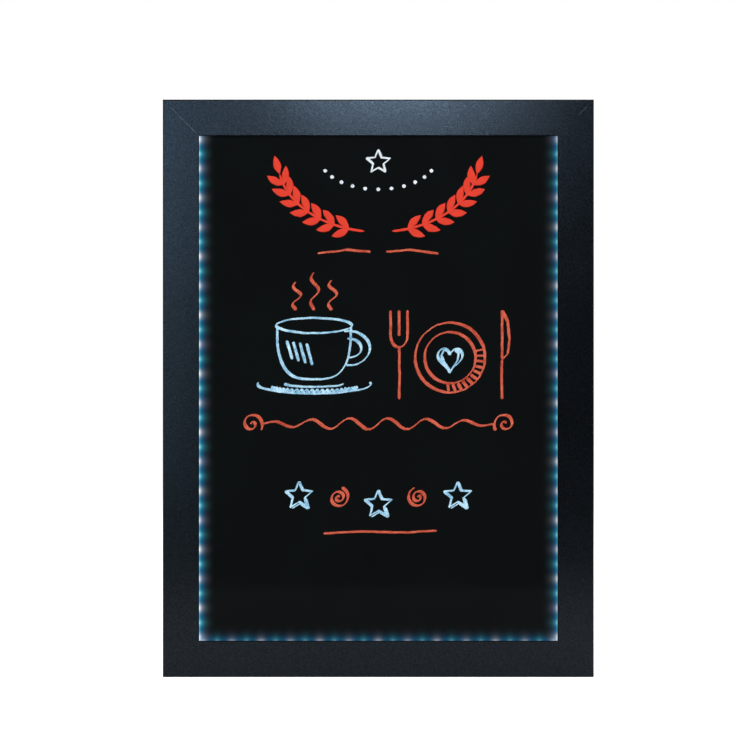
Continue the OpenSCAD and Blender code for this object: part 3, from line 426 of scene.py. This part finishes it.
def lay_ink(name, strokes, ink, body, face, width_mm, out=-1, thick_mm=0.12, step_mm=0.8, shake_mm=1.3,
            end_mm=1.2, end_power=0.5, nib=0.0):
    """Draws strokes, lists of x and z in millimetres, on a face that looks along out times Y."""
    curve = bpy.data.curves.new(name, "CURVE")
    curve.dimensions = "3D"
    for points in strokes:
        spline = curve.splines.new("POLY")
        spline.points.add(len(points) - 1)
        for point, (x, z) in zip(spline.points, points):
            point.co = (x / 1000, 0, z / 1000, 1)
    path = bpy.data.objects.new(name + "_path", curve)
    bpy.context.scene.collection.objects.link(path)
    modifier = path.modifiers.new("Ink stroke", "NODES")
    modifier.node_group = ink_strokes
    values = {"Width": width_mm / 1000, "Thickness": thick_mm / 1000, "Step": step_mm / 1000,
              "Shake": shake_mm / 1000, "End length": end_mm / 1000, "End power": end_power, "Nib": nib,
              "Face": face + out * thick_mm / 2000, "Ink": ink}
    for socket in ink_strokes.interface.items_tree:
        if socket.name in values:
            modifier[socket.identifier] = values[socket.name]
    shown = path.evaluated_get(bpy.context.evaluated_depsgraph_get())
    mesh = bpy.data.meshes.new_from_object(shown)
    bpy.data.objects.remove(path)
    work = bmesh.new()
    work.from_mesh(mesh)
    bmesh.ops.recalc_face_normals(work, faces=work.faces)
    for face_of in work.faces:
        face_of.smooth = True
    work.to_mesh(mesh)
    work.free()
    piece = bpy.data.objects.new(name, mesh)
    bpy.context.scene.collection.objects.link(piece)
    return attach(piece, body)


def arc(x, z, rx, rz, start, stop, power=2.0, count=40):
    """Points on an ellipse, in degrees anticlockwise from the right; a power over 2 squares it."""
    points = []
    for n in range(count + 1):
        angle = math.radians(start + (stop - start) * n / count)
        c = math.cos(angle)
        s = math.sin(angle)
        points.append((x + rx * math.copysign(abs(c) ** (2 / power), c),
                       z + rz * math.copysign(abs(s) ** (2 / power), s)))
    return points


def wave(x0, z0, x1, z1, swing, turns, count=60):
    """A wavy line from one point to another that swings least at its ends."""
    length = math.hypot(x1 - x0, z1 - z0)
    points = []
    for n in range(count + 1):
        t = n / count
        sway = swing * math.sin(2 * math.pi * turns * t) * math.sin(math.pi * t) ** 0.5
        points.append((x0 + (x1 - x0) * t - (z1 - z0) / length * sway,
                       z0 + (z1 - z0) * t + (x1 - x0) / length * sway))
    return points


def star(x, z, r):
    """A five-pointed star drawn round its outline and back to its start."""
    inner_r = 0.45 * r
    corners = [(inner_r if n % 2 else r, math.radians(90 + 36 * n)) for n in range(11)]
    return [(x + size * math.cos(angle), z + size * math.sin(angle)) for size, angle in corners]


def curl(x, z, r, turns, way):
    """A spiral that opens outwards, to the right or the left."""
    points = []
    count = 48
    for n in range(count + 1):
        t = n / count
        angle = 2 * math.pi * turns * t
        points.append((x + way * r * t * math.cos(angle), z + r * t * math.sin(angle)))
    return points


def sprig(way):
    """One half of the wreath: its stem, and leaves in pairs along it with one at the tip."""
    stem = [(way * x, z) for x, z in arc(0, 545, 106, 74, 262, 190)]
    tip = len(stem) - 1
    every = 5
    leaf_lean = 44
    bend_back = -0.4
    leaf_steps = 8
    leaf_step = 2.5
    leaves = []
    for n in range(every, tip + 1, every):
        x, z = stem[n]
        heading = math.atan2(z - stem[n - 1][1], x - stem[n - 1][0])
        for lean in ((-leaf_lean, leaf_lean) if n < tip else (0,)):
            aim = heading + math.radians(lean)
            bow = math.radians(bend_back * lean)
            leaf = [(x, z)]
            for s in range(1, leaf_steps + 1):
                bend = aim + bow * s / leaf_steps
                leaf.append((leaf[-1][0] + leaf_step * math.cos(bend),
                             leaf[-1][1] + leaf_step * math.sin(bend)))
            leaves.append(leaf)
    return stem, leaves


def inked(name, dark, light, glow=0.3):
    """Dried ink: matt, streaked by the felt about every millimetre, with some of the panel's light in it."""
    material = grained(name, dark, light, 0.9, (0.6, 0.8), 0.02, shine=0.2, stretch=(1, 1, 0.45),
                       clouds_mm=11, clouds=0.9)
    shader = material.node_tree.nodes["Principled BSDF"]
    colour = shader.inputs["Base Color"].links[0].from_socket
    material.node_tree.links.new(colour, shader.inputs["Emission Color"])
    shader.inputs["Emission Strength"].default_value = glow
    return material


panel_face = panel_low.y
chalk_red = inked("orange-red liquid chalk", "#a2341f", "#d5644a")
chalk_blue = inked("light blue liquid chalk", "#6297b4", "#c4e3ef")
chalk_white = inked("white liquid chalk", "#c3c6c8", "#e6e8e9")
print_red = inked("red screen print", "#d0331f", "#da3b27")
# Printed wreath, with dots and a star between its halves
left_stem, left_leaves = sprig(-1)
right_stem, right_leaves = sprig(1)
lay_ink("printed_leaves", left_leaves + right_leaves, print_red, "board", panel_face, 8.0,
        end_mm=10, end_power=0.9, shake_mm=0.2)
lay_ink("printed_stems", [left_stem, right_stem], print_red, "board", panel_face, 2.6, end_mm=6, shake_mm=0.2)
dots = [[(x - 2, z), (x + 2, z)] for x, z in arc(0, 550, 62, 34, 205, 335, count=10)]
lay_ink("white_dots", dots, chalk_white, "board", panel_face, 4.0, end_mm=2, step_mm=0.3, shake_mm=0.2)
lay_ink("white_star", [star(0, 545, 13)], chalk_white, "board", panel_face, 2.0, nib=0.6)
# Cup on its saucer, shaded with a few strokes
cup_x = -68
cup_strokes = [
    arc(cup_x, 372, 40, 8, 0, 372),
    arc(cup_x, 371, 39, 56, 180, 360, power=3.0),
    arc(cup_x + 37, 348, 22, 18, 104, -98),
    arc(cup_x + 37, 348, 13, 10, 98, -92),
    arc(cup_x, 310, 60, 10, 168, 372),
    arc(cup_x, 311, 32, 4, 190, 350),
]
cup_strokes += [[(cup_x - 29 + 7 * n, 356 - n), (cup_x - 23 + 7 * n, 336 - 2 * n)] for n in range(4)]
# Heart on the plate, filled in with a loose zigzag, as the saucer is
plate_x = 76
heart = [(plate_x + 13 * math.sin(a) ** 3,
          337 + 11 * math.cos(a) - 4.5 * math.cos(2 * a) - 2 * math.cos(3 * a) - math.cos(4 * a))
         for a in [2 * math.pi * n / 40 for n in range(42)]]
heart_fill = [(plate_x + (x - plate_x) * 0.7, z - 0.5) for x, z in heart[3::3]]
saucer_fill = []
for n, (x, z) in enumerate(arc(cup_x, 307.5, 47, 5, 195, 345, count=44)):
    saucer_fill.append((x, z + (1.6 if n % 2 else -1.6)))
# Row of stars, each with a second stroke at its foot
star_places = ((-84, 192), (0, 183), (84, 192))
star_r = 15
stars = [star(x, z, star_r) for x, z in star_places]
stars += [star(x + 1.5, z - 1.5, star_r)[4:8] for x, z in star_places]
blue_strokes = cup_strokes + [heart, heart_fill, saucer_fill] + stars
lay_ink("blue_drawings", blue_strokes, chalk_blue, "board", panel_face, 2.4, nib=0.9)
# Steam, plate, fork and knife, then the scroll, the curls and the loose lines
plate_z = 338
fork_x = 22
knife_x = 131
scroll_z = 268
red_strokes = [wave(cup_x + x, 388, cup_x + x, top, 5, 1.4) for x, top in ((-19, 418), (0, 428), (19, 420))]
red_strokes += [
    arc(plate_x, plate_z, 37, 37, 10, 380),
    arc(plate_x, plate_z, 27, 27, 60, 424),
    [(fork_x, 294), (fork_x + 0.5, 320), (fork_x, 350)],
    arc(fork_x, 362, 9, 13, 180, 360),
    [(knife_x, 294), (knife_x - 0.5, 316), (knife_x, 336)],
    [(knife_x, 336), (knife_x, 362), (knife_x, 388), (knife_x + 6, 376), (knife_x + 8, 358),
     (knife_x + 6, 342), (knife_x, 336)],
]
red_strokes += [[(fork_x + x, 361), (fork_x + x, 388)] for x in (-9, 0, 9)]
for n in range(11):
    angle = math.radians(-95 + 11 * n)
    c = math.cos(angle)
    s = math.sin(angle)
    red_strokes.append([(plate_x + 28 * c, plate_z + 28 * s), (plate_x + 36 * c + 1.5, plate_z + 36 * s)])
red_strokes += [
    wave(-122, scroll_z, 122, scroll_z, 6, 6),
    curl(-134, scroll_z, 12, 1.6, -1),
    curl(134, scroll_z, 12, 1.6, 1),
    curl(-42, 190, 11, 2.2, 1),
    curl(42, 190, 11, 2.2, -1),
    [(-64, 448), (-34, 452), (-8, 450)],
    [(8, 450), (34, 452), (64, 448)],
    wave(-58, 152, 62, 155, 1.2, 1),
]
lay_ink("red_drawings", red_strokes, chalk_red, "board", panel_face, 2.6, nib=0.9)


# Setting blocks, wall bumpers and cable grommet
# Moulded black rubber: blocks under the panel, bevelled feet on the frame's back, a liner in the cable notch.
# The rubber is a dull charcoal with a dusty bloom.
rubber = grained("moulded black rubber", "#0d0d0d", "#191919", 0.7, (0.68, 0.82), 0.02, shine=0.25,
                 clouds_mm=14)
dress(rubber, "setting_blocks", "wall_bumpers", "cable_grommet")


# Back panel
# A stiff black polystyrene sheet, held in the frame by the turn buttons.
# Its rolled grain is a fine leather pattern that dulls the sheen.
back_sheet = grained("grained black polystyrene", "#0d0e10", "#1d1f22", 1.6, (0.42, 0.58), 0.08, shine=0.3,
                     clouds_mm=90, clouds=0.9)
dress(back_sheet, "back_panel")


# Control pod
# Two moulded ABS halves screwed to the back panel, with the circuit board and its parts inside, and the lead
# that runs from it to the strips. The mould is spark-eroded, which leaves an even fine stipple.
# The stipple is drawn at half a millimetre, coarser than it is, so that it shows.
case_abs = grained("spark-textured black ABS", "#141618", "#23262a", 0.55, (0.42, 0.56), 0.04, shine=0.35)
dress(case_abs, "control_case", "control_cover")
# The caps come from a polished mould, smoother and a little greyer than the case
button_abs = grained("grey ABS", "#33373b", "#43484c", 0.5, (0.38, 0.5), 0.012)
dress(button_abs, "mode_button", "slower_button", "faster_button")
# Undyed nylon is milky and a little waxy
slider_nylon = grained("natural nylon", "#d2d2c8", "#e6e6de", 0.6, (0.35, 0.5), 0.01)
dress(slider_nylon, "power_slider", "lead_clip")
# Green solder mask lies unevenly over the copper, darker and lighter in patches
board_green = grained("green solder-masked laminate", "#17552e", "#237a43", 1.2, (0.3, 0.45), 0.02)
dress(board_green, "control_board")
dress(chip_epoxy, "driver_chip", "power_transistors")
# A deep-drawn can keeps fine lines from its die
can_aluminium = grained("drawn aluminium can", "#a3a7aa", "#bfc3c5", 0.5, (0.28, 0.4), 0.006,
                        metallic=1.0, stretch=(1, 0.1, 1))
dress(can_aluminium, "capacitor")
# PBT moulds to a plain satin black
switch_plastic = grained("black PBT", "#141516", "#202123", 0.4, (0.4, 0.52), 0.01)
dress(switch_plastic, "tact_switches", "dc_jack", "mode_plunger", "slower_plunger", "faster_plunger")
# Tin over brass is bright, with a straw-coloured cast
contact_brass = grained("tinned brass", "#cfc7a6", "#e2dcc2", 0.4, (0.18, 0.28), 0.003, metallic=1.0)
dress(contact_brass, "dc_jack_pin")
# Nickel over pressed steel is a soft bright grey
switch_can = grained("nickel-plated steel can", "#a6aaac", "#c2c5c6", 0.8, (0.25, 0.36), 0.005,
                     metallic=1.0)
dress(switch_can, "slide_switch_body")
# The lead's cover is extruded like the jumpers', in grey
lead_pvc = grained("grey PVC wire cover", "#b4b4ae", "#cfcfc9", 0.7, (0.38, 0.48), 0.006)
dress(lead_pvc, "strip_lead")


# Marks on the controls
# Pad-printed in pale grey on the cover and the caps: a ring for mode, less, more, and the slide's two ends.
# They are plain signs a few hundredths of a millimetre thick.
pad_print = inked("pale grey pad print", "#a6aaad", "#c8ccce", glow=0.0)


def middle_of(node):
    """A node's middle across the back, in millimetres, and its rear face in metres."""
    low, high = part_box(node)
    return 500 * (low.x + high.x), 500 * (low.z + high.z), high.y


def pad_mark(name, strokes, body, face):
    """Prints a sign on a face that looks to the rear."""
    piece = lay_ink(name, strokes, pad_print, body, face, 0.55, out=1, thick_mm=0.04, step_mm=0.2,
                    shake_mm=0.0, end_mm=0.3)
    return piece


x, z, face = middle_of("mode_button")
pad_mark("mode_sign", [arc(x, z, 1.3, 1.3, 0, 360)], "mode_key", face)
arm = 1.4
x, z, face = middle_of("slower_button")
pad_mark("slower_sign", [[(x - arm, z), (x + arm, z)]], "slower_key", face)
x, z, face = middle_of("faster_button")
pad_mark("faster_sign", [[(x - arm, z), (x + arm, z)], [(x, z - arm), (x, z + arm)]], "faster_key", face)
x, z, _ = middle_of("slide_switch_body")
_, _, face = middle_of("control_cover")
end_gap = 6.5
slide_ends = [[(x - end_gap, z - 1.3), (x - end_gap, z + 1.3)], arc(x + end_gap, z, 1.1, 1.4, 0, 360)]
pad_mark("slide_signs", slide_ends, "board", face)


# Studio
# A pale floor and a white surround, with soft lamps by the camera, overhead, at both sides and behind.
# The camera stands square in front of the board, a little above its middle, as the photograph was taken.
floor_mesh = bpy.data.meshes.new("floor")
floor_mesh.from_pydata([(-4, -0.8, 0), (4, -0.8, 0), (4, 6, 0), (-4, 6, 0)], [], [(0, 1, 2, 3)])
floor = bpy.data.objects.new("floor", floor_mesh)
bpy.context.scene.collection.objects.link(floor)
# The floor is matt paint, which the eye sees nearly white
floor_white = 0.8
floor_paint = bpy.data.materials.new("pale studio floor")
floor_paint.use_nodes = True
tree = floor_paint.node_tree
shader = tree.nodes["Principled BSDF"]
shader.inputs["Base Color"].default_value = linear("#eeeeec")
shader.inputs["Roughness"].default_value = 0.9
shader.inputs["Specular IOR Level"].default_value = 0.1
shader.inputs["Emission Color"].default_value = (1, 1, 1, 1)
ray = add_node(tree, "ShaderNodeLightPath").outputs
seen = add_node(tree, "ShaderNodeMath", {0: ray["Is Camera Ray"], 1: ray["Is Glossy Ray"]},
                operation="MAXIMUM").outputs[0]
seen = add_node(tree, "ShaderNodeMath", {0: seen, 1: ray["Is Transmission Ray"]},
                operation="MAXIMUM").outputs[0]
seen = add_node(tree, "ShaderNodeMath", {0: seen, 1: floor_white}, operation="MULTIPLY").outputs[0]
tree.links.new(seen, shader.inputs["Emission Strength"])
floor_mesh.materials.append(floor_paint)

studio = bpy.data.worlds.new("white surround")
studio.use_nodes = True
bpy.context.scene.world = studio
tree = studio.node_tree
ray = add_node(tree, "ShaderNodeLightPath").outputs
aim = add_node(tree, "ShaderNodeTexCoord").outputs["Generated"]
aim = add_node(tree, "ShaderNodeSeparateXYZ", {0: aim}).outputs["Y"]
# The room is pale behind the board and dark in front of it, so that the black panel mirrors nothing bright
pale = add_node(tree, "ShaderNodeMapRange",
                {"Value": aim, "From Min": -0.2, "From Max": 0.4, "To Min": 0.05, "To Max": 0.5}).outputs[0]
mirrored = add_node(tree, "ShaderNodeMath", {0: ray["Is Glossy Ray"], 1: ray["Is Transmission Ray"]},
                    operation="MAXIMUM").outputs[0]
# Metal mirrors it twice as bright as it lights
mirrored = add_node(tree, "ShaderNodeMath", {0: mirrored, 1: 1.0}, operation="ADD").outputs[0]
pale = add_node(tree, "ShaderNodeMath", {0: pale, 1: mirrored}, operation="MULTIPLY").outputs[0]
pale = add_node(tree, "ShaderNodeMath", {0: pale, 1: ray["Is Camera Ray"]}, operation="MAXIMUM").outputs[0]
tree.links.new(pale, tree.nodes["Background"].inputs["Color"])


def soft_box(name, place, aim, width, height, power, colour):
    """A rectangular studio lamp that faces a point."""
    lamp = bpy.data.lights.new(name, "AREA")
    lamp.shape = "RECTANGLE"
    lamp.size = width
    lamp.size_y = height
    lamp.energy = power
    lamp.color = linear(colour)[:3]
    holder = bpy.data.objects.new(name, lamp)
    holder.location = place
    way = [a - p for a, p in zip(aim, place)]
    tilt = math.atan2(math.hypot(way[0], way[1]), -way[2])
    holder.rotation_euler = (tilt, 0, math.atan2(way[1], way[0]) - math.pi / 2)
    bpy.context.scene.collection.objects.link(holder)


# Each lamp's place, the point it faces, its width and height, its power in watts and its colour
soft_box("key_lamp", (0.04, -1.95, 1.03), (0, 0, 0.5), 0.42, 0.2, 14.3, "#d8ecff")
soft_box("upper_left_lamp", (-0.6, -1.9, 0.84), (-0.2, 0, 0.5), 0.35, 0.56, 6.4, "#c4e4ff")
soft_box("lower_left_lamp", (-0.6, -1.9, 0.32), (-0.2, 0, 0.3), 0.35, 0.5, 2.3, "#d0f0ff")
soft_box("high_lamp", (0.1, -0.8, 1.9), (0, -0.1, 0.1), 1.0, 0.7, 15, "#fff8f0")
soft_box("rear_lamp", (0.5, 1.7, 1.5), (0, 0, 0.3), 1.2, 0.9, 21, "#fdfdff")
soft_box("left_side_lamp", (-1.7, 0.25, 0.7), (0, 0, 0.3), 0.6, 0.8, 11, "#fdfdff")
soft_box("right_side_lamp", (1.7, 0.25, 0.7), (0, 0, 0.3), 0.6, 0.8, 11, "#fdfdff")

# What a pixel of the picture covers at the board's front, and the camera's place off the board's middle
px_mm = 1.0572
camera_x = -0.0035
camera_rise = 0.0141
lens_mm = 85
sensor_mm = 36
picture_px = 750
camera = bpy.data.cameras.new("camera")
camera.lens = lens_mm
camera.sensor_width = sensor_mm
holder = bpy.data.objects.new("camera", camera)
distance = picture_px * px_mm / 1000 * lens_mm / sensor_mm
holder.location = (camera_x, front_y - distance, middle_z + camera_rise)
holder.rotation_euler = (math.pi / 2, 0, 0)
bpy.context.scene.collection.objects.link(holder)
bpy.context.scene.camera = holder
bpy.context.scene.view_settings.view_transform = "Standard"
